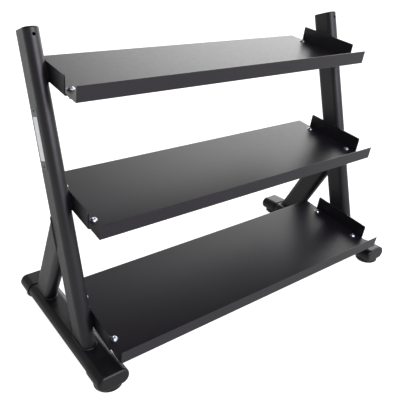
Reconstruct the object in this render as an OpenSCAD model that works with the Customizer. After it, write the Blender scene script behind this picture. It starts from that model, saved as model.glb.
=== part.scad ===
// Three-tier dumbbell rack. Two welded side frames of flat-oval steel tube carry
// three folded steel trays that slope down towards the front.
// The origin is on the floor, in the middle of the rack's footprint.
// +X runs to the right along the trays, -Y is the side the dumbbells are taken from, +Z is up.

/* [Trays] */
// Length of each tray from end to end
tray_length = 1220; // [900:10:1600]
// Depth of each tray along its slope, from the lip to the rear edge
tray_depth = 400; // [330:5:480]
// Thickness of the tray sheet
tray_sheet = 2; // [1.5:0.5:4]
// Inside radius of the folds in the trays
tray_fold_radius = 1.5; // [1:0.5:4]
// Height of the lip folded up along the front, from the underside
lip_height = 49; // [30:1:70]
// Height of the stiffening fold turned down along the rear edge
rear_fold_height = 20; // [12:1:30]
// Forward slope of the trays, in degrees
tray_slope = 9; // [0:0.5:12]
// Height of the lowest tray above the base rails, measured along the uprights
first_tray_height = 56.5; // [50:0.5:90]
// Distance from one tray to the next, measured along the uprights
tray_pitch = 386; // [320:2:470]
// How far the middle of each tray stands ahead of the uprights' centre line
tray_forward = 8; // [0:1:20]

/* [Tubes] */
// Long side of the flat-oval tube
tube_depth = 100; // [80:1:120]
// Short side of the flat-oval tube
tube_width = 48; // [38:1:60]
// Wall of the flat-oval tube
tube_wall = 2.5; // [1.5:0.5:4]

/* [Side frames] */
// How far the middle of each base rail stands inboard of its upright's middle
rail_inset = 5; // [0:1:8]
// Length of each base rail, without its boots
rail_length = 654; // [550:1:800]
// Space from the floor to the underside of the base rails
rail_clearance = 16.5; // [12:0.5:40]
// Backward lean of the uprights, in degrees
upright_lean = 14.5; // [5:0.5:20]
// Length of bare base rail between the front boot and the upright
upright_to_boot = 58; // [10:1:90]
// Length of each upright above the middle of the top tray
upright_above_tray = 140; // [90:1:200]
// Forward lean of the rear braces, in degrees
brace_lean = 30.5; // [24:0.5:36]
// Length of bare base rail between the brace and the rear boot
brace_to_boot = 10; // [1:1:30]
// Depth of the thin edge ground off where a brace is coped to its upright
cope_land = 5; // [3:0.5:8]
// Diameter of the hanging hole through the front of each upright
hang_hole = 10; // [4:0.5:12]
// Distance of the hanging hole below the top of the upright
hang_hole_drop = 16; // [12:1:30]

/* [Brackets] */
// Thickness of the bracket plate
bracket_sheet = 4; // [3:0.5:6]
// Length of each bracket along the tray's slope
bracket_length = 266; // [200:2:300]
// Height of the bracket's upstand above the tray's underside
bracket_height = 57; // [40:1:80]
// Width of the leg that carries the tray
bracket_leg = 52; // [46:1:70]
// Radius of the upstand's top corners
bracket_corner = 5; // [2:0.5:12]
// Space between the end of a tray and the bracket, which is also the bracket's inside fold radius
tray_end_gap = 2; // [1.5:0.5:4]

/* [Fasteners] */
// Thread diameter of the tray bolts
bolt_diameter = 12; // [8:1:12]
// Length of the tray bolts under the head
bolt_length = 30; // [28:1:34]
// Diameter of the button head
head_diameter = 21; // [14:0.5:22]
// Height of the button head
head_height = 6.6; // [4:0.1:8]
// Hexagon socket, across its flats
socket_flats = 8; // [5:0.5:9]
// Depth of the hexagon socket
socket_depth = 4; // [2:0.5:5]
// Outside diameter of the washers
washer_diameter = 24; // [16:1:26]
// Thickness of the washers
washer_sheet = 2.5; // [1:0.5:3]
// Lock nut, across its flats
nut_flats = 18; // [13:1:19]
// Height of the lock nut's hexagon
nut_height = 10; // [6:1:12]
// Height of the lock nut's round collar
nut_collar = 4; // [2:0.5:5]
// Extra diameter of the holes that the bolts pass through
bolt_clearance = 1; // [0.5:0.1:1.5]
// Distance of the bolts from the end of the tray
bolt_from_tray_end = 27; // [20:1:34]
// Distance of the bolts from the ends of the bracket
bolt_from_bracket_end = 28; // [20:1:60]

/* [Boots and caps] */
// Length of each boot along the base rail
boot_length = 84; // [70:1:120]
// Wall of the boot's sleeve
boot_wall = 2.6; // [2:0.2:6]
// Thickness of the boot's nose
boot_nose = 7; // [6:0.5:10]
// Radius of the edge round the boot's nose
boot_edge_radius = 10; // [3:0.5:11]
// Gap between the boot and the base rail, all round
boot_fit = 0.4; // [0.2:0.1:1]
// Diameter of the round foot moulded under the boot
foot_diameter = 90; // [76:1:100]
// Distance from the boot's nose to the middle of the foot
foot_setback = 46; // [42:1:56]
// Size of the edge bevel round the bottom of the foot
foot_bevel = 2; // [1:0.5:3]
// Diameter of the rubber sole set into the foot
sole_diameter = 80; // [60:1:90]
// Thickness of the rubber sole
sole_thickness = 5; // [3:0.5:8]
// Depth of the pocket that holds the sole
sole_pocket = 2; // [1:0.5:3]
// Height of the cap's head above the tube
cap_height = 6.5; // [5:0.5:10]
// Radius of the edge round the cap's head
cap_edge_radius = 4; // [1:0.5:4.5]
// Depth of the cap's skirt inside the tube
cap_skirt = 11; // [6:1:11]
// Wall of the cap's skirt
cap_wall = 2.5; // [1.5:0.5:4]
// Gap between the cap's skirt and the tube
cap_fit = 0.3; // [0.1:0.1:0.6]

/* [Nameplates] */
// Length of the blank plate on the outside of each upright
plate_length = 185; // [120:1:220]
// Width of the blank plate
plate_width = 46; // [30:1:60]
// Thickness of the blank plate
plate_sheet = 1.2; // [0.8:0.1:2]
// Radius of the plate's corners
plate_corner = 3; // [1:0.5:8]
// Distance from the top of the upright down to the middle of the plate
plate_drop = 311; // [200:1:400]
// Distance of each rivet from the end of the plate
rivet_inset = 8; // [6:0.5:14]
// Diameter of the rivet shank
rivet_diameter = 4; // [3:0.1:5]
// Diameter of the rivet head
rivet_head = 8; // [6:0.5:10]
// Height of the rivet head
rivet_height = 1.6; // [1:0.1:2.5]
// Length of rivet that stands proud inside the tube
rivet_tail = 4; // [2:0.5:6]
// Extra diameter of the rivet holes
rivet_clearance = 0.2; // [0.1:0.1:0.5]

/* [Hidden] */
$fn = 64;

LEFT = -1;
RIGHT = 1;
FRONT = -1;
REAR = 1;
LOWER = 0;
MIDDLE = 1;
UPPER = 2;

STEEL_BLACK = "#2c2c2f";
PLASTIC_BLACK = "#1d1d1e";
RUBBER_BLACK = "#121212";
ZINC = "#c9ccd0";
PLATE_GREY = "#8b8e90";
RIVET_BLACK = "#18181a";

// Overlap that lets a cutting shape pass cleanly through a surface
cut = 1;

// Heights of the base rail, and places measured along it from its middle
rail_middle = rail_clearance + tube_width / 2;
rail_top = rail_clearance + tube_width;
nose_y = rail_length / 2 + boot_nose;
front_boot_end = -nose_y + boot_length;
rear_boot_end = nose_y - boot_length;
upright_foot = front_boot_end + upright_to_boot + tube_depth / 2 / cos(upright_lean);
brace_foot = rear_boot_end - brace_to_boot - tube_depth / 2 / cos(brace_lean);

// Places across the rack
upright_inner_x = tray_length / 2 + tray_end_gap + bracket_sheet;
upright_x = upright_inner_x + tube_width / 2;
rail_x = upright_x - rail_inset;

// The lowest tray's lip may reach further forward than the boots, so the rails' middle
// is moved to put the origin in the middle of the footprint
lowest_tray_y = upright_foot + first_tray_height * sin(upright_lean) - tray_forward * cos(upright_lean);
lip_reach = tray_depth / 2 * cos(tray_slope) + lip_height * sin(tray_slope) - lowest_tray_y;
rail_y = (max(lip_reach, nose_y) - nose_y) / 2;

// Lengths of the upright and the brace along their own axes
upright_length = first_tray_height + 2 * tray_pitch + upright_above_tray;
brace_axis_length = (brace_foot - upright_foot) * cos(upright_lean) / sin(upright_lean + brace_lean);
tube_flat = tube_depth - tube_width;

// Stack of pieces under each bolt's head
bolt_hole = bolt_diameter + bolt_clearance;
bolt_x = tray_length / 2 - bolt_from_tray_end;
bolt_y = bracket_length / 2 - bolt_from_bracket_end;
nut_top = -bracket_sheet - washer_sheet;
thread_gap = 0.1;

// Boot sizes
boot_width = tube_depth + 2 * (boot_wall + boot_fit);
boot_height = tube_width + 2 * (boot_wall + boot_fit);
foot_bottom = sole_thickness - sole_pocket;
foot_top = rail_middle - boot_height / 4;
sole_gap = 0.3;

// ---- Shared outlines ----

// Outline of a flat-oval: two straight sides along Y joined by half circles
module flat_oval(width, depth) {
    square([width, depth - width], center = true);
    for (end = [-1, 1])
        translate([0, end * (depth - width) / 2]) circle(d = width);
}

module tube_outline() {
    difference() {
        flat_oval(tube_width, tube_depth);
        flat_oval(tube_width - 2 * tube_wall, tube_depth - 2 * tube_wall);
    }
}

// Quarter of a ring, filling the quadrant between +X and +Y
module quarter_ring(inner, sheet) {
    intersection() {
        difference() {
            circle(r = inner + sheet);
            circle(r = inner);
        }
        square(inner + sheet);
    }
}

// Rectangle centred on the origin with rounded corners
module rounded_rectangle(length, width, radius) {
    square([length - 2 * radius, width], center = true);
    square([length, width - 2 * radius], center = true);
    for (x = [-1, 1], y = [-1, 1])
        translate([x * (length / 2 - radius), y * (width / 2 - radius)]) circle(r = radius);
}

// Rectangle standing on Y = 0 with its two top corners rounded
module round_shouldered(width, height, radius) {
    shoulder = height - radius;
    intersection() {
        union() {
            translate([-width / 2, 0]) square([width, shoulder]);
            translate([radius - width / 2, 0]) square([width - 2 * radius, height]);
            for (end = [-1, 1])
                translate([end * (width / 2 - radius), shoulder]) circle(r = radius);
        }
        translate([-width / 2, 0]) square([width, height]);
    }
}

// Flat-oval block standing on Z = 0, with the edge round its top rounded
module oval_block(width, depth, height, radius) {
    across = depth - width;
    rotate([90, 0, 0])
        linear_extrude(across, center = true) round_shouldered(width, height, radius);
    for (end = [-1, 1])
        translate([0, end * across / 2, 0])
            rotate_extrude()
                intersection() {
                    round_shouldered(width, height, radius);
                    square([width / 2, height]);
                }
}

// ---- Places ----

// Foot of the upright on one side, with +Z along the upright and +Y towards its rear
module at_upright(side) {
    translate([side * upright_x, rail_y + upright_foot, rail_top])
        rotate([-upright_lean, 0, 0])
            children();
}

// Foot of the rear brace on one side, with +Z along the brace
module at_brace(side) {
    translate([side * upright_x, rail_y + brace_foot, rail_top])
        rotate([brace_lean, 0, 0])
            children();
}

// Middle of a tray's underside, with +Y up its slope towards the rear
module at_tray(tier) {
    along = first_tray_height + tier * tray_pitch;
    translate([0, rail_y + upright_foot, rail_top])
        rotate([-upright_lean, 0, 0])
            translate([0, -tray_forward, along])
                rotate([upright_lean + tray_slope, 0, 0])
                    children();
}

// The two bolt places at the right-hand end of a tray, in the tray's own frame
module end_bolt_places() {
    for (y = [-1, 1])
        translate([bolt_x, y * bolt_y, 0]) children();
}

// The four bolt places of a tray
module at_tray_bolts(tier) {
    at_tray(tier) {
        end_bolt_places() children();
        mirror([1, 0, 0]) end_bolt_places() children();
    }
}

// End of a base rail at the boot's nose, with +Y pointing into the boot
module at_boot(side, end) {
    translate([side * rail_x, rail_y + end * nose_y, 0])
        mirror([0, end == REAR ? 1 : 0, 0])
            children();
}

// Middle of a nameplate's back, with +Z pointing away from the upright and +X down its length
module at_nameplate(side) {
    at_upright(side)
        translate([side * tube_width / 2, 0, upright_length - plate_drop])
            rotate([0, side * 90, 0])
                children();
}

// Everything below the flat top of a base rail
module below_rail_top(side, y) {
    span = 4 * tube_depth;
    translate([side * upright_x - span / 2, rail_y + y - span / 2, rail_top - span]) cube(span);
}

// ---- Side frames ----

module base_rail(side) {
    translate([side * rail_x, rail_y - rail_length / 2, rail_middle])
        rotate([-90, 0, 0])
            linear_extrude(rail_length)
                rotate(90) tube_outline();
}

module upright(side) {
    difference() {
        at_upright(side) {
            translate([0, 0, -tube_depth])
                linear_extrude(upright_length + tube_depth) tube_outline();
        }
        below_rail_top(side, upright_foot);
        at_upright(side)
            translate([0, 0, upright_length - hang_hole_drop])
                rotate([90, 0, 0]) cylinder(d = hang_hole, h = tube_depth);
        at_nameplate(side) rivet_places()
            translate([0, 0, -2 * tube_wall])
                cylinder(d = rivet_diameter + rivet_clearance, h = 3 * tube_wall);
    }
}

// Space taken by the upright where the brace is coped to it
module cope() {
    block = 4 * tube_depth;
    translate([-block / 2, tube_flat / 2 + cope_land - block, 0]) cube([block, block, 2 * block]);
    translate([0, tube_flat / 2, 0]) cylinder(d = tube_width, h = 2 * block);
}

module rear_brace(side) {
    difference() {
        at_brace(side) {
            translate([0, 0, -tube_depth])
                linear_extrude(brace_axis_length + tube_depth) tube_outline();
        }
        below_rail_top(side, brace_foot);
        at_upright(side) cope();
    }
}

// Folded angle welded to the inside of the upright
module bracket(tier, side) {
    at_tray(tier)
        mirror([side == LEFT ? 1 : 0, 0, 0])
            difference() {
                intersection() {
                    rotate([90, 0, 0])
                        linear_extrude(bracket_length, center = true) bracket_section();
                    rotate([90, 0, 90])
                        linear_extrude(upright_inner_x + cut) bracket_side_outline();
                }
                end_bolt_places()
                    translate([0, 0, -bracket_sheet - cut])
                        cylinder(d = bolt_hole, h = bracket_sheet + 2 * cut);
            }
}

// The angle's L section: the tray lies on the leg, and the upstand's outer face meets the upright
module bracket_section() {
    leg_start = upright_inner_x - bracket_leg;
    leg_end = tray_length / 2;
    translate([leg_start, -bracket_sheet]) square([leg_end - leg_start, bracket_sheet]);
    translate([leg_end, tray_end_gap]) rotate(-90) quarter_ring(tray_end_gap, bracket_sheet);
    translate([leg_end + tray_end_gap, tray_end_gap])
        square([bracket_sheet, bracket_height - tray_end_gap]);
}

// Side outline of the bracket, with the top corners rounded
module bracket_side_outline() {
    low = -bracket_sheet - cut;
    rounded_from = bracket_height - bracket_corner;
    translate([-bracket_length / 2, low]) square([bracket_length, rounded_from - low]);
    translate([-bracket_length / 2 + bracket_corner, low])
        square([bracket_length - 2 * bracket_corner, bracket_height - low]);
    for (end = [-1, 1])
        translate([end * (bracket_length / 2 - bracket_corner), rounded_from])
            circle(r = bracket_corner);
}

// ---- Trays ----

// Folded section of a tray seen from its end: front lip up, rear edge down
module tray_section() {
    fold = tray_fold_radius + tray_sheet;
    front = -tray_depth / 2;
    rear = tray_depth / 2;
    translate([front + fold, 0]) square([tray_depth - 2 * fold, tray_sheet]);
    translate([front + fold, fold]) rotate(180) quarter_ring(tray_fold_radius, tray_sheet);
    translate([front, fold]) square([tray_sheet, lip_height - fold]);
    translate([rear - fold, -tray_fold_radius]) quarter_ring(tray_fold_radius, tray_sheet);
    translate([rear - tray_sheet, tray_sheet - rear_fold_height])
        square([tray_sheet, rear_fold_height - fold]);
}

module tray(tier) {
    difference() {
        at_tray(tier)
            translate([-tray_length / 2, 0, 0])
                rotate([90, 0, 90])
                    linear_extrude(tray_length) tray_section();
        at_tray_bolts(tier)
            translate([0, 0, -cut]) cylinder(d = bolt_hole, h = tray_sheet + 2 * cut);
    }
}

// ---- Fasteners ----

module hexagon(flats, height) {
    cylinder(r = flats / 2 / cos(30), h = height, $fn = 6);
}

// Button-head screw with its seat at the origin and its shank pointing down
module button_bolt() {
    rim = 0.8;
    rise = head_height - rim;
    dome = (head_diameter * head_diameter / 4 + rise * rise) / 2 / rise;
    difference() {
        rotate_extrude()
            intersection() {
                translate([0, head_height - dome]) circle(r = dome, $fn = 128);
                square([head_diameter / 2, head_height]);
            }
        translate([0, 0, head_height - socket_depth]) hexagon(socket_flats, socket_depth + cut);
    }
    translate([0, 0, -bolt_length]) cylinder(d = bolt_diameter, h = bolt_length);
}

module washer() {
    difference() {
        cylinder(d = washer_diameter, h = washer_sheet);
        translate([0, 0, -cut]) cylinder(d = bolt_hole, h = washer_sheet + 2 * cut);
    }
}

// Lock nut with its seat at the origin and its collar pointing down
module lock_nut() {
    difference() {
        union() {
            translate([0, 0, -nut_height]) hexagon(nut_flats, nut_height);
            translate([0, 0, -nut_height - nut_collar])
                cylinder(d = nut_flats - 1, h = nut_collar + nut_height / 2);
        }
        translate([0, 0, -nut_height - nut_collar - cut])
            cylinder(d = bolt_diameter + 2 * thread_gap, h = nut_height + nut_collar + 2 * cut);
    }
}

module tray_bolts(tier) {
    at_tray_bolts(tier) translate([0, 0, tray_sheet + washer_sheet]) button_bolt();
}

module tray_washers(tier) {
    at_tray_bolts(tier) {
        translate([0, 0, tray_sheet]) washer();
        translate([0, 0, nut_top]) washer();
    }
}

module tray_nuts(tier) {
    at_tray_bolts(tier) translate([0, 0, nut_top]) lock_nut();
}

// ---- Boots, soles and caps ----

// Flat-oval body lying along +Y, with the whole edge of its nose rounded
module boot_body() {
    translate([0, boot_length, 0])
        rotate([90, 0, 0])
            rotate(90) oval_block(boot_height, boot_width, boot_length, boot_edge_radius);
}

// Round foot below the body, bevelled at its lower edge
module foot() {
    radius = foot_diameter / 2;
    rotate_extrude()
        polygon([
            [0, foot_bottom],
            [radius - foot_bevel, foot_bottom],
            [radius, foot_bottom + foot_bevel],
            [radius, foot_top],
            [0, foot_top],
        ]);
}

module boot(side, end) {
    at_boot(side, end)
        difference() {
            union() {
                translate([0, 0, rail_middle]) boot_body();
                translate([0, foot_setback, 0]) foot();
            }
            translate([0, boot_nose, rail_middle])
                rotate([-90, 0, 0])
                    linear_extrude(boot_length + foot_diameter)
                        rotate(90)
                            flat_oval(tube_width + 2 * boot_fit, tube_depth + 2 * boot_fit);
            translate([0, foot_setback, foot_bottom - cut])
                cylinder(d = sole_diameter + 2 * sole_gap, h = sole_pocket + cut);
        }
}

module soles() {
    for (side = [LEFT, RIGHT], end = [FRONT, REAR])
        at_boot(side, end)
            translate([0, foot_setback, 0]) cylinder(d = sole_diameter, h = sole_thickness);
}

// Plug that closes the top of an upright: a round-edged head over a skirt
module upright_cap(side) {
    skirt_width = tube_width - 2 * (tube_wall + cap_fit);
    skirt_depth = tube_depth - 2 * (tube_wall + cap_fit);
    at_upright(side)
        translate([0, 0, upright_length]) {
            oval_block(tube_width, tube_depth, cap_height, cap_edge_radius);
            translate([0, 0, -cap_skirt])
                linear_extrude(cap_skirt)
                    difference() {
                        flat_oval(skirt_width, skirt_depth);
                        flat_oval(skirt_width - 2 * cap_wall, skirt_depth - 2 * cap_wall);
                    }
        }
}

// ---- Nameplates ----

module rivet_places() {
    for (end = [-1, 1])
        translate([end * (plate_length / 2 - rivet_inset), 0, 0]) children();
}

module nameplate(side) {
    at_nameplate(side)
        difference() {
            linear_extrude(plate_sheet) rounded_rectangle(plate_length, plate_width, plate_corner);
            rivet_places()
                translate([0, 0, -cut])
                    cylinder(d = rivet_diameter + rivet_clearance, h = plate_sheet + 2 * cut);
        }
}

// Domed rivet heads on the plate, with their shanks through the tube wall
module nameplate_rivets(side) {
    dome = (rivet_head * rivet_head / 4 + rivet_height * rivet_height) / 2 / rivet_height;
    shank = plate_sheet + tube_wall + rivet_tail;
    at_nameplate(side)
        rivet_places()
            translate([0, 0, plate_sheet]) {
                rotate_extrude()
                    intersection() {
                        translate([0, rivet_height - dome]) circle(r = dome, $fn = 128);
                        square([rivet_head / 2, rivet_height]);
                    }
                translate([0, 0, -shank]) cylinder(d = rivet_diameter, h = shank);
            }
}

// ---- Named parts ----

module left_base_rail() { color(STEEL_BLACK) base_rail(LEFT); }
module right_base_rail() { color(STEEL_BLACK) base_rail(RIGHT); }
module left_upright() { color(STEEL_BLACK) upright(LEFT); }
module right_upright() { color(STEEL_BLACK) upright(RIGHT); }
module left_rear_brace() { color(STEEL_BLACK) rear_brace(LEFT); }
module right_rear_brace() { color(STEEL_BLACK) rear_brace(RIGHT); }
module upper_left_bracket() { color(STEEL_BLACK) bracket(UPPER, LEFT); }
module upper_right_bracket() { color(STEEL_BLACK) bracket(UPPER, RIGHT); }
module middle_left_bracket() { color(STEEL_BLACK) bracket(MIDDLE, LEFT); }
module middle_right_bracket() { color(STEEL_BLACK) bracket(MIDDLE, RIGHT); }
module lower_left_bracket() { color(STEEL_BLACK) bracket(LOWER, LEFT); }
module lower_right_bracket() { color(STEEL_BLACK) bracket(LOWER, RIGHT); }
module upper_tray() { color(STEEL_BLACK) tray(UPPER); }
module middle_tray() { color(STEEL_BLACK) tray(MIDDLE); }
module lower_tray() { color(STEEL_BLACK) tray(LOWER); }
module upper_tray_bolts() { color(ZINC) tray_bolts(UPPER); }
module middle_tray_bolts() { color(ZINC) tray_bolts(MIDDLE); }
module lower_tray_bolts() { color(ZINC) tray_bolts(LOWER); }
module upper_tray_washers() { color(ZINC) tray_washers(UPPER); }
module middle_tray_washers() { color(ZINC) tray_washers(MIDDLE); }
module lower_tray_washers() { color(ZINC) tray_washers(LOWER); }
module upper_tray_nuts() { color(ZINC) tray_nuts(UPPER); }
module middle_tray_nuts() { color(ZINC) tray_nuts(MIDDLE); }
module lower_tray_nuts() { color(ZINC) tray_nuts(LOWER); }
module left_front_boot() { color(PLASTIC_BLACK) boot(LEFT, FRONT); }
module right_front_boot() { color(PLASTIC_BLACK) boot(RIGHT, FRONT); }
module left_rear_boot() { color(PLASTIC_BLACK) boot(LEFT, REAR); }
module right_rear_boot() { color(PLASTIC_BLACK) boot(RIGHT, REAR); }
module foot_soles() { color(RUBBER_BLACK) soles(); }
module left_upright_cap() { color(PLASTIC_BLACK) upright_cap(LEFT); }
module right_upright_cap() { color(PLASTIC_BLACK) upright_cap(RIGHT); }
module left_nameplate() { color(PLATE_GREY) nameplate(LEFT); }
module right_nameplate() { color(PLATE_GREY) nameplate(RIGHT); }
module left_nameplate_rivets() { color(RIVET_BLACK) nameplate_rivets(LEFT); }
module right_nameplate_rivets() { color(RIVET_BLACK) nameplate_rivets(RIGHT); }

left_base_rail();
right_base_rail();
left_upright();
right_upright();
left_rear_brace();
right_rear_brace();
upper_left_bracket();
upper_right_bracket();
middle_left_bracket();
middle_right_bracket();
lower_left_bracket();
lower_right_bracket();
upper_tray();
middle_tray();
lower_tray();
upper_tray_bolts();
middle_tray_bolts();
lower_tray_bolts();
upper_tray_washers();
middle_tray_washers();
lower_tray_washers();
upper_tray_nuts();
middle_tray_nuts();
lower_tray_nuts();
left_front_boot();
right_front_boot();
left_rear_boot();
right_rear_boot();
foot_soles();
left_upright_cap();
right_upright_cap();
left_nameplate();
right_nameplate();
left_nameplate_rivets();
right_nameplate_rivets();
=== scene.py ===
"""Looks of the three-tier dumbbell rack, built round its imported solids.

Metres throughout. +X runs to the right along the trays, -Y is the side the dumbbells are
taken from, +Z is up, and the rack stands on Z = 0.
"""
import math

import bpy
import numpy as np
from mathutils import Matrix, Vector


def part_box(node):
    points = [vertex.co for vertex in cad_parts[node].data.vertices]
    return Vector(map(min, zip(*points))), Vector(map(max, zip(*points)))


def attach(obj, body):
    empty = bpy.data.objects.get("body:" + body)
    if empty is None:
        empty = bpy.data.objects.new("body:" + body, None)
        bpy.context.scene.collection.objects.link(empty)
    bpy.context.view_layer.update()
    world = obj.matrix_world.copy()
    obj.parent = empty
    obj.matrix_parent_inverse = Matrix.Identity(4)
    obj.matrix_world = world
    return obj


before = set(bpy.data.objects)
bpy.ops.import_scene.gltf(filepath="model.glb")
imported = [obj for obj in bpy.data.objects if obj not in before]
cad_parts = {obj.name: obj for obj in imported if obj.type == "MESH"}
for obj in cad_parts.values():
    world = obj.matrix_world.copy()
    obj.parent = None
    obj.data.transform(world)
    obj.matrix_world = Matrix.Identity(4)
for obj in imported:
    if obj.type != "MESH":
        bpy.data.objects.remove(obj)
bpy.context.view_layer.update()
scene = bpy.context.scene


# ---- Camera ----
# A viewer who stands ahead of the rack's left end, a little above its top tray, and looks
# across it towards the right-hand frame.
EYE = Vector((-1.15434, -1.40632, 1.19243))
YAW, PITCH, ROLL = (math.radians(a) for a in (37.336, 22.746, 1.523))
FOCAL_LENGTH, SENSOR_WIDTH = 46.21, 36
SHIFT_X, SHIFT_Y = -0.0019, -0.0544

sight = Vector((math.sin(YAW) * math.cos(PITCH), math.cos(YAW) * math.cos(PITCH), -math.sin(PITCH)))
level_right = Vector((math.cos(YAW), -math.sin(YAW), 0))
level_up = level_right.cross(sight)
right = level_right * math.cos(ROLL) + level_up * math.sin(ROLL)
up = level_up * math.cos(ROLL) - level_right * math.sin(ROLL)

lens = bpy.data.cameras.new("camera")
lens.sensor_width, lens.lens = SENSOR_WIDTH, FOCAL_LENGTH
lens.shift_x, lens.shift_y = SHIFT_X, SHIFT_Y
lens.clip_end = 200
camera = bpy.data.objects.new("camera", lens)
camera.matrix_world = Matrix.Translation(EYE) @ Matrix((right, up, -sight)).transposed().to_4x4()
scene.collection.objects.link(camera)
scene.camera = camera
scene.view_settings.view_transform = "Standard"


# ---- Welded side frames ----
# Flat-oval mild steel tube, MIG welded, then blasted and sprayed with a fine-textured
# satin black powder coat, which is baked on in one film over tube, brackets and welds.
def linear(code):
    """Turns an sRGB hex colour such as "1b1b1d" into the linear RGBA that sockets take."""
    srgb = np.array([int(code[i:i + 2], 16) / 255 for i in (0, 2, 4)])
    rgb = np.where(srgb <= 0.04045, srgb / 12.92, ((srgb + 0.055) / 1.055) ** 2.4)
    return (*rgb.tolist(), 1.0)


def add_node(tree, kind, inputs=None, **settings):
    """Adds one node, sets its properties, then sets or links each named or numbered input."""
    node = tree.nodes.new(kind)
    for key, value in settings.items():
        setattr(node, key, value)
    for key, value in (inputs or {}).items():
        if isinstance(value, bpy.types.NodeSocket):
            tree.links.new(value, node.inputs[key])
        else:
            node.inputs[key].default_value = value
    return node


def new_material(name, **constants):
    """A material with one Principled shader, whose constant sockets are set directly."""
    material = bpy.data.materials.new(name)
    material.use_nodes = True
    shader = material.node_tree.nodes["Principled BSDF"]
    for key, value in constants.items():
        shader.inputs[key.replace("_", " ")].default_value = value
    return material, material.node_tree, shader


def noise_at(tree, place, size_mm, detail=2.0, roughness=0.5):
    """Value noise whose lumps are size_mm across, read at the given place in metres."""
    return add_node(tree, "ShaderNodeTexNoise", {
        "Vector": place, "Scale": 1000 / size_mm, "Detail": detail, "Roughness": roughness,
    }).outputs[0]


def spread(tree, value, low, high, start=0.3, end=0.7):
    """Stretches a noise value between start and end to run from low to high."""
    return add_node(tree, "ShaderNodeMapRange", {
        "Value": value, "From Min": start, "From Max": end, "To Min": low, "To Max": high,
    }).outputs[0]


def tint(tree, value, dark, light):
    """Mixes two sRGB colours by a value from 0 to 1."""
    mix = add_node(tree, "ShaderNodeMix", {0: value}, data_type="RGBA")
    mix.inputs[6].default_value = linear(dark)
    mix.inputs[7].default_value = linear(light)
    return mix.outputs[2]


def bump(tree, height, depth_mm, below=None):
    """A bump whose height runs over depth_mm, laid on the bump below it."""
    inputs = {"Height": height, "Distance": depth_mm / 1000, "Strength": 1.0}
    if below is not None:
        inputs["Normal"] = below
    return add_node(tree, "ShaderNodeBump", inputs).outputs[0]


def powder_coat(name, dark, light, rough_low, rough_high,
                peel_mm, peel_depth_mm, grain_mm, grain_depth_mm):
    """Powder coat: a clouded colour, a mottled satin, the film's orange peel and its grain."""
    material, tree, shader = new_material(name, IOR=1.5, Metallic=0.0, Specular_IOR_Level=0.42)
    place = add_node(tree, "ShaderNodeTexCoord").outputs["Object"]
    clouds = spread(tree, noise_at(tree, place, 130, 3), 0, 1)
    mottle = spread(tree, noise_at(tree, place, 14, 4, 0.6), rough_low, rough_high)
    tree.links.new(tint(tree, clouds, dark, light), shader.inputs["Base Color"])
    tree.links.new(mottle, shader.inputs["Roughness"])
    peel = bump(tree, noise_at(tree, place, peel_mm, 1), peel_depth_mm)
    grain = bump(tree, noise_at(tree, place, grain_mm, 2), grain_depth_mm, peel)
    tree.links.new(grain, shader.inputs["Normal"])
    return material


def finish_nodes(material, *names):
    """Gives carried-over CAD nodes one finished material."""
    for name in names:
        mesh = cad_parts[name].data
        mesh.materials.clear()
        mesh.materials.append(material)


# Fine-textured powder coat, sprayed and baked: a soft sheen that rolls off round the tubes.
# The real grain is 0.4 mm, too fine to show, so it is drawn at 1.6 mm.
frame_coat = powder_coat(
    "fine_texture_black_powder_coat", "100e12", "171519", 0.34, 0.42, 9, 0.03, 1.6, 0.02)
SIDES = ("left", "right")
finish_nodes(frame_coat, *(f"{side}_{part}" for side in SIDES
                           for part in ("base_rail", "upright", "rear_brace")))


# ---- Weld beads on the tubes ----
# MIG fillet welds run round the foot of each upright and brace and round the brace's coped
# head. Each pass leaves a row of overlapping scales, and the powder coat covers them.
TUBE_DEPTH, TUBE_WIDTH = 0.100, 0.048
UPRIGHT_LEAN, BRACE_LEAN = math.radians(14.5), math.radians(30.5)
COPE_LAND = 0.005
BEAD_RADIUS = 0.0044
SCALE_LENGTH = 0.0042
# How far each path stands off the tube, how much a bead swells at the middle of a scale, and
# the smallest share of its radius at a free end
FOOT_GROW, COPE_GROW = 0.0006, 0.0004
SCALE_TROUGH, SCALE_SWELL = 0.92, 0.12
TIP_SHARE = 0.02


def flat_oval(count, width, depth, grow=0.0):
    """Points round a flat oval: x = half width times the cosine of the turn; y = half width
    times its sine, moved out by half the straight side, so both arcs stay round."""
    turn = np.linspace(0, 2 * math.pi, count, endpoint=False)
    radius, straight = width / 2 + grow, (depth - width) / 2
    # the straight sides take their share of the points by blending the arcs' centres
    sine, cosine = np.sin(turn), np.cos(turn)
    centre = straight * np.clip(sine * 3.0, -1, 1)
    return cosine * radius, centre + sine * radius


def even_steps(path, step, closed):
    """Moves a path's points along it until they stand one step apart in arc length."""
    line = np.vstack([path, path[:1]]) if closed else path
    along = np.concatenate([[0], np.cumsum(np.linalg.norm(np.diff(line, axis=0), axis=1))])
    count = max(8, int(along[-1] / step))
    wanted = np.linspace(0, along[-1], count, endpoint=not closed)
    return np.stack([np.interp(wanted, along, line[:, k]) for k in range(3)], axis=1), wanted


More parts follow.
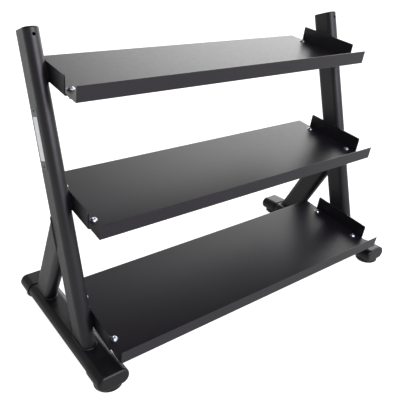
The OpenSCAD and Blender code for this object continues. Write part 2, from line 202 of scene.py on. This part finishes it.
def bead(path, facing, radius, closed=True, sides=10):
    """A circle carried along a path. At arc length s its radius is the bead's, swollen by a
    tenth of |sin(pi s / scale length)|, and at a free end it falls to nothing as a half round."""
    path, s = even_steps(np.asarray(path, float), SCALE_LENGTH / 6, closed)
    tangent = np.roll(path, -1, 0) - np.roll(path, 1, 0) if closed else np.gradient(path, axis=0)
    tangent /= np.linalg.norm(tangent, axis=1, keepdims=True)
    across = np.cross(tangent, facing)
    across /= np.linalg.norm(across, axis=1, keepdims=True)
    outward = np.cross(across, tangent)
    swell = radius * (SCALE_TROUGH + SCALE_SWELL * np.abs(np.sin(math.pi * s / SCALE_LENGTH)))
    if not closed:
        from_end = np.minimum(s, s[-1] - s)
        swell = swell * np.sqrt(1 - (1 - np.clip(from_end / radius, TIP_SHARE, 1)) ** 2)
    turn = np.linspace(0, 2 * math.pi, sides, endpoint=False)
    ring = (np.cos(turn)[None, :, None] * across[:, None]
            + np.sin(turn)[None, :, None] * outward[:, None])
    points = (path[:, None] + swell[:, None, None] * ring).reshape(-1, 3)
    rows = len(path)
    i, j = np.meshgrid(np.arange(rows if closed else rows - 1), np.arange(sides), indexing="ij")
    near, far = i * sides, (i + 1) % rows * sides
    next_j = (j + 1) % sides
    quads = np.stack([near + j, far + j, far + next_j, near + next_j], axis=-1).reshape(-1, 4)
    faces = quads.tolist()
    if not closed:
        turn_j = np.arange(sides)
        start, end = rows * sides, rows * sides + 1
        last = (rows - 1) * sides
        points = np.vstack([points, path[:1], path[-1:]])
        faces += np.stack([np.full(sides, start), turn_j, (turn_j + 1) % sides], 1).tolist()
        faces += np.stack([np.full(sides, end), last + (turn_j + 1) % sides, last + turn_j],
                          1).tolist()
    return points, faces


def join_piece(name, shells, material):
    """Puts several closed shells into one named piece that rides on the rack."""
    points, faces, start = [], [], 0
    for shell_points, shell_faces in shells:
        points.append(shell_points)
        faces += [[start + k for k in face] for face in shell_faces]
        start += len(shell_points)
    mesh = bpy.data.meshes.new(name)
    mesh.from_pydata(np.vstack(points).tolist(), [], faces)
    mesh.shade_smooth()
    mesh.materials.append(material)
    piece = bpy.data.objects.new(name, mesh)
    scene.collection.objects.link(piece)
    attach(piece, "root")
    return piece


def foot_loop(centre_x, centre_y, height, lean):
    """The outline of a leaning tube where it stands on the flat top of the rail: the flat
    oval, stretched front to back by one over the cosine of the lean."""
    x, y = flat_oval(360, TUBE_WIDTH, TUBE_DEPTH, FOOT_GROW)
    return np.stack([centre_x + x, centre_y + y / math.cos(lean), np.full_like(x, height)], axis=1)


def cope_loop(centre_x, foot, brace_foot):
    """The outline of the brace carried along the brace until it meets the upright's round
    rear: distance behind the upright's middle = half its straight side + sqrt(r^2 - x^2)."""
    x, y = flat_oval(720, TUBE_WIDTH, TUBE_DEPTH, COPE_GROW)
    radius, straight = TUBE_WIDTH / 2, (TUBE_DEPTH - TUBE_WIDTH) / 2
    arc = np.sqrt(np.clip(radius ** 2 - x ** 2, 0, None))
    behind = straight + np.maximum(COPE_LAND, arc)
    across = np.array([math.cos(UPRIGHT_LEAN), -math.sin(UPRIGHT_LEAN)])
    side = np.array([math.cos(BRACE_LEAN), math.sin(BRACE_LEAN)])
    rise = np.array([-math.sin(BRACE_LEAN), math.cos(BRACE_LEAN)])
    start = (brace_foot - foot) @ across
    reach = (start + y * (side @ across) - behind) / -(rise @ across)
    place = brace_foot[None] + y[:, None] * side + reach[:, None] * rise
    return np.stack([centre_x + x, place[:, 0], place[:, 1]], axis=1)


for side in SIDES:
    upright_low, upright_high = (np.array(v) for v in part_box(f"{side}_upright"))
    _, brace_high = (np.array(v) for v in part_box(f"{side}_rear_brace"))
    middle_x, rail_top = (upright_low[0] + upright_high[0]) / 2, upright_low[2]
    foot_y = upright_low[1] + TUBE_DEPTH / 2 / math.cos(UPRIGHT_LEAN)
    brace_y = brace_high[1] - TUBE_DEPTH / 2 / math.cos(BRACE_LEAN)
    shells = [
        bead(foot_loop(middle_x, foot_y, rail_top, UPRIGHT_LEAN), (0, 0, 1), BEAD_RADIUS),
        bead(foot_loop(middle_x, brace_y, rail_top, BRACE_LEAN), (0, 0, 1), BEAD_RADIUS),
        bead(cope_loop(middle_x, np.array([foot_y, rail_top]), np.array([brace_y, rail_top])),
             (0, -math.sin(BRACE_LEAN), math.cos(BRACE_LEAN)), BEAD_RADIUS * 0.85),
    ]
    join_piece(f"{side}_frame_welds", shells, frame_coat)


# ---- Brackets and their welds ----
# Angles folded from 4 mm plate, welded to the inner flats of the uprights before coating.
# A bead runs along the top edge, one along the fold, and one up each side of the tube.
finish_nodes(frame_coat, *(f"{tier}_{side}_bracket" for tier in ("upper", "middle", "lower")
                           for side in SIDES))
TIERS = ("upper", "middle", "lower")
TRAY_SLOPE = math.radians(9)
TRAY_FORWARD = 0.008
BRACKET_HEIGHT = 0.057
TRAY_REACH, TRAY_FOLD = 0.1965, 0.0035
LIP_HEIGHT, REAR_DROP = 0.049, 0.018
BRACKET_BEAD = 0.0034
# Where the beads lie against the faces that they join
TOE_IN, SIDE_GAP, FOLD_DROP = 0.0012, 0.0055, 0.0005

slope_way = np.array([math.cos(TRAY_SLOPE), math.sin(TRAY_SLOPE)])
slope_up = np.array([-math.sin(TRAY_SLOPE), math.cos(TRAY_SLOPE)])
tube_across = np.array([math.cos(UPRIGHT_LEAN), -math.sin(UPRIGHT_LEAN)])
tube_along = np.array([math.sin(UPRIGHT_LEAN), math.cos(UPRIGHT_LEAN)])


def tray_middle(tier):
    """Middle of a tray's underside as (y, z), worked back from the corners of its box."""
    low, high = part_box(f"{tier}_tray")
    y = (low[1] + high[1]) / 2 + (LIP_HEIGHT - REAR_DROP) / 2 * math.sin(TRAY_SLOPE)
    z = low[2] + TRAY_REACH * math.sin(TRAY_SLOPE) + TRAY_FOLD * (1 - math.cos(TRAY_SLOPE))
    return np.array([y, z])


def line_on_bracket(middle, height, x):
    """A straight line at one height up the bracket, across the flat side of the upright."""
    half = (TUBE_DEPTH - TUBE_WIDTH) / 2 + 0.004
    lean = TRAY_SLOPE + UPRIGHT_LEAN
    ends = (np.array([-half, half]) + TRAY_FORWARD + height * math.sin(lean)) / math.cos(lean)
    place = middle + height * slope_up + np.linspace(*ends, 40)[:, None] * slope_way
    return np.stack([np.full(40, x), place[:, 0], place[:, 1]], axis=1)


def line_up_tube(middle, across, x):
    """A straight line along the upright's side, from the bracket's fold to its top edge."""
    lean = TRAY_SLOPE + UPRIGHT_LEAN
    heights = np.array([0.004, BRACKET_HEIGHT - 0.001])
    ends = (heights + (TRAY_FORWARD + across) * math.sin(lean)) / math.cos(lean)
    place = (middle + (TRAY_FORWARD + across) * tube_across
             + np.linspace(*ends, 40)[:, None] * tube_along)
    return np.stack([np.full(40, x), place[:, 0], place[:, 1]], axis=1)


for side, sign in (("left", -1), ("right", 1)):
    low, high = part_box(f"{side}_upright")
    inner_x = high[0] if side == "left" else low[0]
    shells = []
    for tier in TIERS:
        middle = tray_middle(tier)
        flare = (TUBE_DEPTH - TUBE_WIDTH) / 2 + SIDE_GAP
        lines = [
            line_on_bracket(middle, BRACKET_HEIGHT, inner_x),
            line_on_bracket(middle, -FOLD_DROP, inner_x - sign * TOE_IN),
            line_up_tube(middle, -flare, inner_x + sign * TOE_IN),
            line_up_tube(middle, flare, inner_x + sign * TOE_IN),
        ]
        shells += [bead(line, (1, 0, 0), BRACKET_BEAD, closed=False) for line in lines]
    join_piece(f"{side}_bracket_welds", shells, frame_coat)


# ---- Trays ----
# Sheet steel laser cut and folded, then coated as the frames are but in a smoother satin
# film, which lies flat on the wide floors and mirrors the room softly.
tray_coat = powder_coat(
    "satin_black_powder_coat_on_sheet", "120f14", "161318", 0.34, 0.38, 14, 0.010, 2.0, 0.005)
finish_nodes(tray_coat, *(f"{tier}_tray" for tier in TIERS))


# ---- Bolts, washers and nuts ----
# Bright zinc-plated M12 button-head screws with flat washers and nylon-insert lock nuts.
# Plating is a thin bluish metal film with faint clouds and tumbling marks.
def plated_steel(name, dark, light, rough_low, rough_high):
    """Zinc plate: clouded metal whose gloss varies in small patches, with a hammer of dents."""
    material, tree, shader = new_material(name, Metallic=1.0)
    place = add_node(tree, "ShaderNodeTexCoord").outputs["Object"]
    clouds = spread(tree, noise_at(tree, place, 6, 3), 0, 1)
    tree.links.new(tint(tree, clouds, dark, light), shader.inputs["Base Color"])
    gloss = spread(tree, noise_at(tree, place, 1.5, 3), rough_low, rough_high)
    tree.links.new(gloss, shader.inputs["Roughness"])
    tree.links.new(bump(tree, noise_at(tree, place, 1.2, 2), 0.01), shader.inputs["Normal"])
    return material


bolt_zinc = plated_steel("bright_zinc_plate_on_screws", "a9b0b8", "ced3d9", 0.22, 0.32)
washer_zinc = plated_steel("bright_zinc_plate_on_washers", "b9bec6", "d6dade", 0.22, 0.34)
finish_nodes(bolt_zinc, *(f"{tier}_tray_bolts" for tier in TIERS))
finish_nodes(washer_zinc, *(f"{tier}_tray_{part}" for tier in TIERS
                            for part in ("washers", "nuts")))


# The lock nuts' nylon inserts stand a little proud of their crimped collars, and the rolled
# threads show where each screw comes through. Pitch is the M12 standard, 1.75 mm.
BOLT_X, BOLT_Y = 0.583, 0.105
# Depths below the tray's underside of the nut's lower end and of the screw's tip
NUT_DROP, SCREW_TIP = 0.0205, 0.0255
SCREW_RADIUS, THREAD_PITCH = 0.006, 0.00175
# Half the ridge's width, the depth of its roots in the screw, its height, the turns over
# which it runs out, its distance from the screw's tip and nut, and its points per turn
RIDGE_HALF, RIDGE_ROOT, RIDGE_CREST = 0.0007, 0.0003, 0.00018
RUN_OUT, RIDGE_INSET, TURN_POINTS = 0.5, 0.0006, 48
INSERT_INNER, INSERT_OUTER, INSERT_PROUD = 0.0062, 0.0076, 0.0005


def revolve(profile, sides=40):
    """A closed ring: each (radius, height) of a closed profile turned round the Z axis."""
    turn = np.linspace(0, 2 * math.pi, sides, endpoint=False)[:, None]
    radius, height = np.asarray(profile, float).T
    points = np.stack([radius * np.cos(turn), radius * np.sin(turn),
                       np.broadcast_to(height, (sides, len(radius)))], axis=-1).reshape(-1, 3)
    count = len(radius)
    i, j = np.meshgrid(np.arange(sides), np.arange(count), indexing="ij")
    ahead, step = (i + 1) % sides, (j + 1) % count
    quads = np.stack([i * count + j, ahead * count + j, ahead * count + step, i * count + step], -1)
    return points, quads.reshape(-1, 4).tolist()


def thread(start, end):
    """A ridge wound on the screw: at turn t its middle stands at height start + pitch x t and
    its crest 0.18 mm out, and both ends run out to nothing over half a turn."""
    turns = (end - start) / THREAD_PITCH
    t = np.linspace(0, turns, int(turns * TURN_POINTS))[:, None]
    fade = np.clip(np.minimum(t, turns - t) / RUN_OUT, TIP_SHARE, 1)
    wedge = np.array([[-RIDGE_HALF, -RIDGE_ROOT], [0, RIDGE_CREST], [RIDGE_HALF, -RIDGE_ROOT]])
    radius = SCREW_RADIUS + wedge[:, 1] * fade
    height = start + THREAD_PITCH * t + wedge[:, 0] * fade
    angle = 2 * math.pi * t
    points = np.stack([radius * np.cos(angle), radius * np.sin(angle), height], -1).reshape(-1, 3)
    i, j = np.meshgrid(np.arange(len(t) - 1), np.arange(3), indexing="ij")
    near, far, step = i * 3, (i + 1) * 3, (j + 1) % 3
    quads = np.stack([near + j, far + j, far + step, near + step], -1)
    last = (len(t) - 1) * 3
    return points, quads.reshape(-1, 4).tolist() + [[0, 1, 2], [last + 2, last + 1, last]]


def at_bolts(tier, shell):
    """Copies of a shell at the four bolt places of a tray: turned by its slope, then moved."""
    points, faces = shell
    turned = np.stack([points[:, 0], points[:, 1] * slope_way[0] + points[:, 2] * slope_up[0],
                       points[:, 1] * slope_way[1] + points[:, 2] * slope_up[1]], axis=1)
    middle = tray_middle(tier)
    shells = []
    for x in (-BOLT_X, BOLT_X):
        for y in (-BOLT_Y, BOLT_Y):
            place = middle + y * slope_way
            shells.append((turned + np.array([x, *place]), faces))
    return shells


nylon, tree, shader = new_material("moulded_white_nylon", IOR=1.53, Metallic=0.0)
place = add_node(tree, "ShaderNodeTexCoord").outputs["Object"]
flow = spread(tree, noise_at(tree, place, 3, 2), 0, 1)
tree.links.new(tint(tree, flow, "cfd3d4", "e4e6e4"), shader.inputs["Base Color"])
tree.links.new(spread(tree, noise_at(tree, place, 1, 2), 0.35, 0.5), shader.inputs["Roughness"])
insert_low, insert_high = -NUT_DROP - INSERT_PROUD, -NUT_DROP + INSERT_PROUD
insert = revolve([(INSERT_INNER, insert_high), (INSERT_INNER, insert_low),
                  (INSERT_OUTER, insert_low), (INSERT_OUTER, insert_high)])
ridge = thread(-SCREW_TIP + RIDGE_INSET, -NUT_DROP - RIDGE_INSET)
join_piece("nut_inserts", [s for tier in TIERS for s in at_bolts(tier, insert)], nylon)
join_piece("screw_threads", [s for tier in TIERS for s in at_bolts(tier, ridge)], bolt_zinc)


# ---- Boots, soles and caps ----
# Injection-moulded black polypropylene, with the fine grain of a spark-eroded mould, over
# pressed-in discs of moulded rubber that stand on the floor.
def moulded(name, dark, light, rough_low, rough_high, grain_mm, grain_depth_mm):
    """Moulded plastic or rubber: near-even colour, a matt skin, and the mould's eroded grain."""
    material, tree, shader = new_material(name, IOR=1.49, Metallic=0.0, Specular_IOR_Level=0.36)
    place = add_node(tree, "ShaderNodeTexCoord").outputs["Object"]
    flow = spread(tree, noise_at(tree, place, 45, 2), 0, 1)
    tree.links.new(tint(tree, flow, dark, light), shader.inputs["Base Color"])
    gloss = spread(tree, noise_at(tree, place, 5, 3), rough_low, rough_high)
    tree.links.new(gloss, shader.inputs["Roughness"])
    grain = bump(tree, noise_at(tree, place, grain_mm, 2, 0.6), grain_depth_mm)
    tree.links.new(grain, shader.inputs["Normal"])
    return material


# Eroded grain is about 0.2 mm across on the real boots and is drawn at 1.2 mm so it shows.
boot_plastic = moulded("moulded_black_polypropylene", "0e0e0f", "141415", 0.30, 0.40, 1.2, 0.012)
cap_plastic = moulded("moulded_black_polyethylene", "0f0f10", "151516", 0.28, 0.38, 1.0, 0.010)
sole_rubber = moulded("moulded_black_rubber", "0b0b0b", "121211", 0.7, 0.85, 1.6, 0.03)
finish_nodes(boot_plastic, *(f"{side}_{end}_boot" for side in SIDES for end in ("front", "rear")))
finish_nodes(cap_plastic, *(f"{side}_upright_cap" for side in SIDES))
finish_nodes(sole_rubber, "foot_soles")


# ---- Nameplates and rivets ----
# Thin aluminium plate with a brushed face, dyed grey and anodised, held by two black-painted
# blind rivets. A plain printed panel stands in the middle, with nothing written on it.
def brushed(name, dark, light, rough_low, rough_high, lean):
    """Brushed metal: noise stretched 60 to 1 along the brushing, which follows the upright."""
    material, tree, shader = new_material(name, Metallic=1.0)
    place = add_node(tree, "ShaderNodeTexCoord").outputs["Object"]
    turned = add_node(tree, "ShaderNodeMapping", {
        "Vector": place, "Rotation": (lean, 0, 0), "Scale": (1, 1, 1 / 60)}).outputs[0]
    lines = noise_at(tree, turned, 0.9, 3, 0.7)
    tree.links.new(tint(tree, spread(tree, lines, 0, 1), dark, light), shader.inputs["Base Color"])
    tree.links.new(spread(tree, lines, rough_low, rough_high), shader.inputs["Roughness"])
    tree.links.new(bump(tree, lines, 0.01), shader.inputs["Normal"])
    return material


plate_metal = brushed(
    "brushed_grey_anodised_aluminium", "4c4e51", "616467", 0.34, 0.46, UPRIGHT_LEAN)
rivet_paint = powder_coat(
    "black_painted_rivet_steel", "050506", "09090a", 0.5, 0.62, 3, 0.01, 0.8, 0.004)
finish_nodes(plate_metal, *(f"{side}_nameplate" for side in SIDES))
finish_nodes(rivet_paint, *(f"{side}_nameplate_rivets" for side in SIDES))


# The printed panel is a screen-printed pale enamel, matt and a little uneven.
PANEL_LENGTH, PANEL_WIDTH, PANEL_CORNER = 0.132, 0.034, 0.004
PANEL_LIFT, PANEL_SINK = 0.00015, 0.0002


def raised_panel(centre, length_way, width_way, out_way):
    """A thin flat panel with rounded corners: its outline is a rectangle shrunk by the corner
    radius, plus that radius times the cosine and sine of the turn."""
    turn = np.linspace(0, 2 * math.pi, 64, endpoint=False) + math.pi / 64
    u = np.sign(np.cos(turn)) * (PANEL_LENGTH / 2 - PANEL_CORNER) + PANEL_CORNER * np.cos(turn)
    v = np.sign(np.sin(turn)) * (PANEL_WIDTH / 2 - PANEL_CORNER) + PANEL_CORNER * np.sin(turn)
    ring = centre + u[:, None] * length_way + v[:, None] * width_way
    points = np.vstack([ring - PANEL_SINK * out_way, ring + PANEL_LIFT * out_way])
    j = np.arange(64)
    walls = np.stack([j, (j + 1) % 64, 64 + (j + 1) % 64, 64 + j], axis=1).tolist()
    return points, walls + [j[::-1].tolist(), (64 + j).tolist()]


panel_ink, tree, shader = new_material("screen_printed_pale_enamel", IOR=1.48, Metallic=0.0)
place = add_node(tree, "ShaderNodeTexCoord").outputs["Object"]
wash = spread(tree, noise_at(tree, place, 12, 3), 0, 1)
tree.links.new(tint(tree, wash, "f6f6f7", "fdfdfd"), shader.inputs["Base Color"])
tree.links.new(spread(tree, noise_at(tree, place, 2, 3), 0.42, 0.55), shader.inputs["Roughness"])
tree.links.new(bump(tree, noise_at(tree, place, 0.8, 2), 0.005), shader.inputs["Normal"])
for side, sign in (("left", -1), ("right", 1)):
    low, high = (np.array(v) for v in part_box(f"{side}_nameplate"))
    middle = (low + high) / 2
    middle[0] = low[0] if side == "left" else high[0]
    along, across = np.array([0, *tube_along]), np.array([0, *tube_across]) * -sign
    panel = raised_panel(middle, along, across, np.array([sign, 0, 0]))
    piece = join_piece(f"{side}_nameplate_panel", [panel], panel_ink)
    piece.data.shade_flat()


# ---- Studio ----
# A seamless pale floor that glows from below: brighter to the eye than the light it sends
# back to the rack, which is weaker close by, and with a soft painted shade under the lowest tray.
FLOOR_SIZE = 120.0
# Glow that the eye sees on the open floor, and inside the painted shade under the lowest tray
SEEN_FLOOR, PAINTED_SHADE_FLOOR = 0.95, 0.05
NEAR_FLOOR, FAR_FLOOR, NEAR_DISTANCE, FAR_DISTANCE = 0.26, 0.66, 0.4, 3.5
# Where the painted shade fades from its full depth to nothing, along X and along Y
PAINTED_SHADE_X, PAINTED_SHADE_Y = (0.565, 0.66), (0.07, 0.21)
floor_mesh = bpy.data.meshes.new("floor")
half = FLOOR_SIZE / 2
corners = [(-half, -half, 0), (half, -half, 0), (half, half, 0), (-half, half, 0)]
floor_mesh.from_pydata(corners, [], [(0, 1, 2, 3)])
floor = bpy.data.objects.new("floor", floor_mesh)
scene.collection.objects.link(floor)
paper, tree, shader = new_material("white_paper_floor_with_painted_shade", Roughness=0.9, Specular_IOR_Level=0.2)
place = add_node(tree, "ShaderNodeTexCoord").outputs["Object"]
pulp = spread(tree, noise_at(tree, place, 400, 2), 0, 1)
tree.links.new(tint(tree, pulp, "b4b4b4", "b8b8b8"), shader.inputs["Base Color"])
shader.inputs["Emission Color"].default_value = linear("ffffff")


def smooth_range(tree, value, start, end, low, high):
    """A value taken smoothly from low, at start, to high, at end."""
    return add_node(tree, "ShaderNodeMapRange", {
        "Value": value, "From Min": start, "From Max": end, "To Min": low, "To Max": high},
        interpolation_type="SMOOTHSTEP").outputs[0]


def product(tree, first, second):
    """Two values multiplied."""
    return add_node(tree, "ShaderNodeMath", {0: first, 1: second}, operation="MULTIPLY").outputs[0]


# The painted shade is a soft-edged rectangle: 1 in its middle and 0 outside, along X and along Y
middle_out = add_node(tree, "ShaderNodeVectorMath", {0: place}, operation="ABSOLUTE").outputs[0]
apart = add_node(tree, "ShaderNodeSeparateXYZ", {0: middle_out}).outputs
painted_shade = product(tree, smooth_range(tree, apart["X"], *PAINTED_SHADE_X, 1.0, 0.0),
                smooth_range(tree, apart["Y"], *PAINTED_SHADE_Y, 1.0, 0.0))
# The eye sees the floor's glow darkened by this painted shade
seen = smooth_range(tree, painted_shade, 0.0, 1.0, SEEN_FLOOR, PAINTED_SHADE_FLOOR)
distance = add_node(tree, "ShaderNodeVectorMath", {0: place}, operation="LENGTH").outputs["Value"]
sent_back = smooth_range(tree, distance, NEAR_DISTANCE, FAR_DISTANCE, NEAR_FLOOR, FAR_FLOOR)
path = add_node(tree, "ShaderNodeLightPath").outputs["Is Camera Ray"]
choice = add_node(tree, "ShaderNodeMix", {0: path, 2: sent_back, 3: seen}, data_type="FLOAT")
tree.links.new(choice.outputs[0], shader.inputs["Emission Strength"])
floor_mesh.materials.append(paper)

# The room: dim walls, a bright bank of light behind the rack's right end, and a weaker one
# ahead of it on the right. Each bank is full where a direction's share of the bank's own
# passes the second number of its pair, and gone below the first.
WALLS, REAR_LIGHT, SIDE_LIGHT = 0.32, 3.55, 1.8
REAR_BANK, REAR_EDGES = (0.835, 0.535, 0.13), (0.66, 1.0)
SIDE_BANK, SIDE_EDGES = (0.80, -0.60, 0.0), (0.25, 0.85)
SIDE_FOOT, SIDE_HEAD = (0.03, 0.18), (0.80, 0.45)
world = bpy.data.worlds.new("studio")
scene.world = world
world.use_nodes = True
tree = world.node_tree
way = add_node(tree, "ShaderNodeTexCoord").outputs["Generated"]


def share(tree, way, aim):
    """The share of a direction that points along another: their dot product."""
    return add_node(tree, "ShaderNodeVectorMath", {0: way, 1: aim},
                    operation="DOT_PRODUCT").outputs["Value"]


rear_bank = smooth_range(tree, share(tree, way, REAR_BANK), *REAR_EDGES, WALLS, REAR_LIGHT)
height = add_node(tree, "ShaderNodeSeparateXYZ", {0: way}).outputs["Z"]
side_band = product(tree, smooth_range(tree, height, *SIDE_FOOT, 0.0, 1.0),
                    smooth_range(tree, height, *SIDE_HEAD, 0.0, 1.0))
beside = share(tree, way, SIDE_BANK)
side_bank = product(tree, smooth_range(tree, beside, *SIDE_EDGES, 0.0, SIDE_LIGHT), side_band)
glow = add_node(tree, "ShaderNodeMath", {0: rear_bank, 1: side_bank}, operation="ADD").outputs[0]
path = add_node(tree, "ShaderNodeLightPath").outputs["Is Camera Ray"]
strength = add_node(tree, "ShaderNodeMix", {0: path, 2: glow, 3: 1.0}, data_type="FLOAT").outputs[0]
background = tree.nodes["Background"]
background.inputs["Color"].default_value = linear("ffffff")
tree.links.new(strength, background.inputs["Strength"])


def softbox(name, place, aim, width, height, power, colour):
    """A rectangular soft light at a place, turned to face a point, and not seen by the camera."""
    light = bpy.data.lights.new(name, "AREA")
    light.shape = "RECTANGLE"
    light.size, light.size_y, light.energy = width, height, power
    light.color = linear(colour)[:3]
    lamp = bpy.data.objects.new(name, light)
    turn = (Vector(aim) - Vector(place)).to_track_quat("-Z", "Y").to_matrix().to_4x4()
    lamp.matrix_world = Matrix.Translation(place) @ turn
    lamp.visible_camera = False
    scene.collection.objects.link(lamp)


# One large, faintly violet softbox ahead of the rack draws the soft line down each upright
softbox("front_softbox", (-0.15, -2.1, 1.75), (-0.15, 0, 0.85), 2.0, 1.5, 52, "f4eeff")
